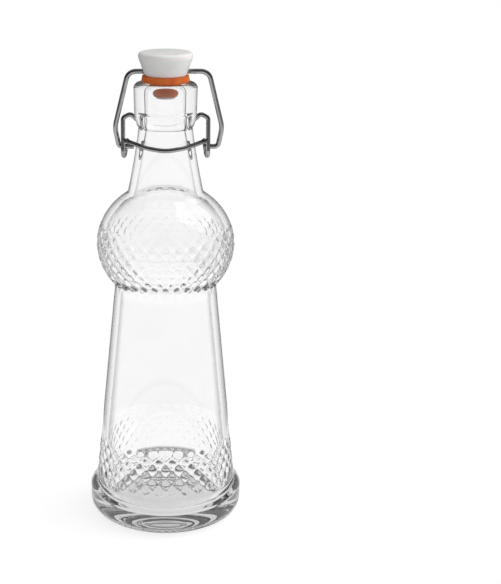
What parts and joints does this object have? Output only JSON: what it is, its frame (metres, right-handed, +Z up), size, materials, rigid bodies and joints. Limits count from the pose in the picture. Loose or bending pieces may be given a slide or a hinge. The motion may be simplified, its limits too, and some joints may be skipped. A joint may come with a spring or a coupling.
{
  "type": "swing top bottle",
  "caption": "Clear glass swing top bottle with a round bulb above a tapered, diamond-patterned body, and a wire lever closure with a white stopper and an orange gasket.",
  "frame": {"origin": "middle of the ring that the bottle stands on", "axes": "+Z up along the bottle's axis, +X to the right along the lever's pivot line, -Y to the front, where the lever's handle lies when closed"},
  "size_m": [0.0722, 0.0722, 0.2202],
  "materials": {
    "clear_glass": "clear, pressed and blown",
    "white_stopper": "smooth moulded",
    "orange_rubber": "smooth moulded",
    "steel_wire": "drawn wire, bright"
  },
  "bodies": {
    "bottle": {"bottle": "clear_glass"},
    "lever": {"lever_wire": "steel_wire"},
    "bail": {"bail_wire": "steel_wire"},
    "stopper": {"stopper": "white_stopper", "gasket": "orange_rubber"}
  },
  "joints": [
    {"name": "lever_swing", "type": "hinge", "parent": "bottle", "child": "lever", "pos_m": [0, 0, 0.189], "axis": [-1, 0, 0], "range_deg": [0, 66]},
    {"name": "bail_swing", "type": "hinge", "parent": "lever", "child": "bail", "pos_m": [0, 0.002, 0.1771], "axis": [-1, 0, 0], "range_deg": [-44.93, 0]},
    {"name": "stopper_swivel", "type": "hinge", "parent": "bail", "child": "stopper", "pos_m": [0, 0, 0.2113], "axis": [-1, 0, 0], "range_deg": [-21.17, 0]}
  ],
  "couplings": [
    {"joint": "bail_swing", "follows": "lever_swing", "ratio": -0.68},
    {"joint": "stopper_swivel", "follows": "lever_swing", "ratio": -0.32}
  ]
}
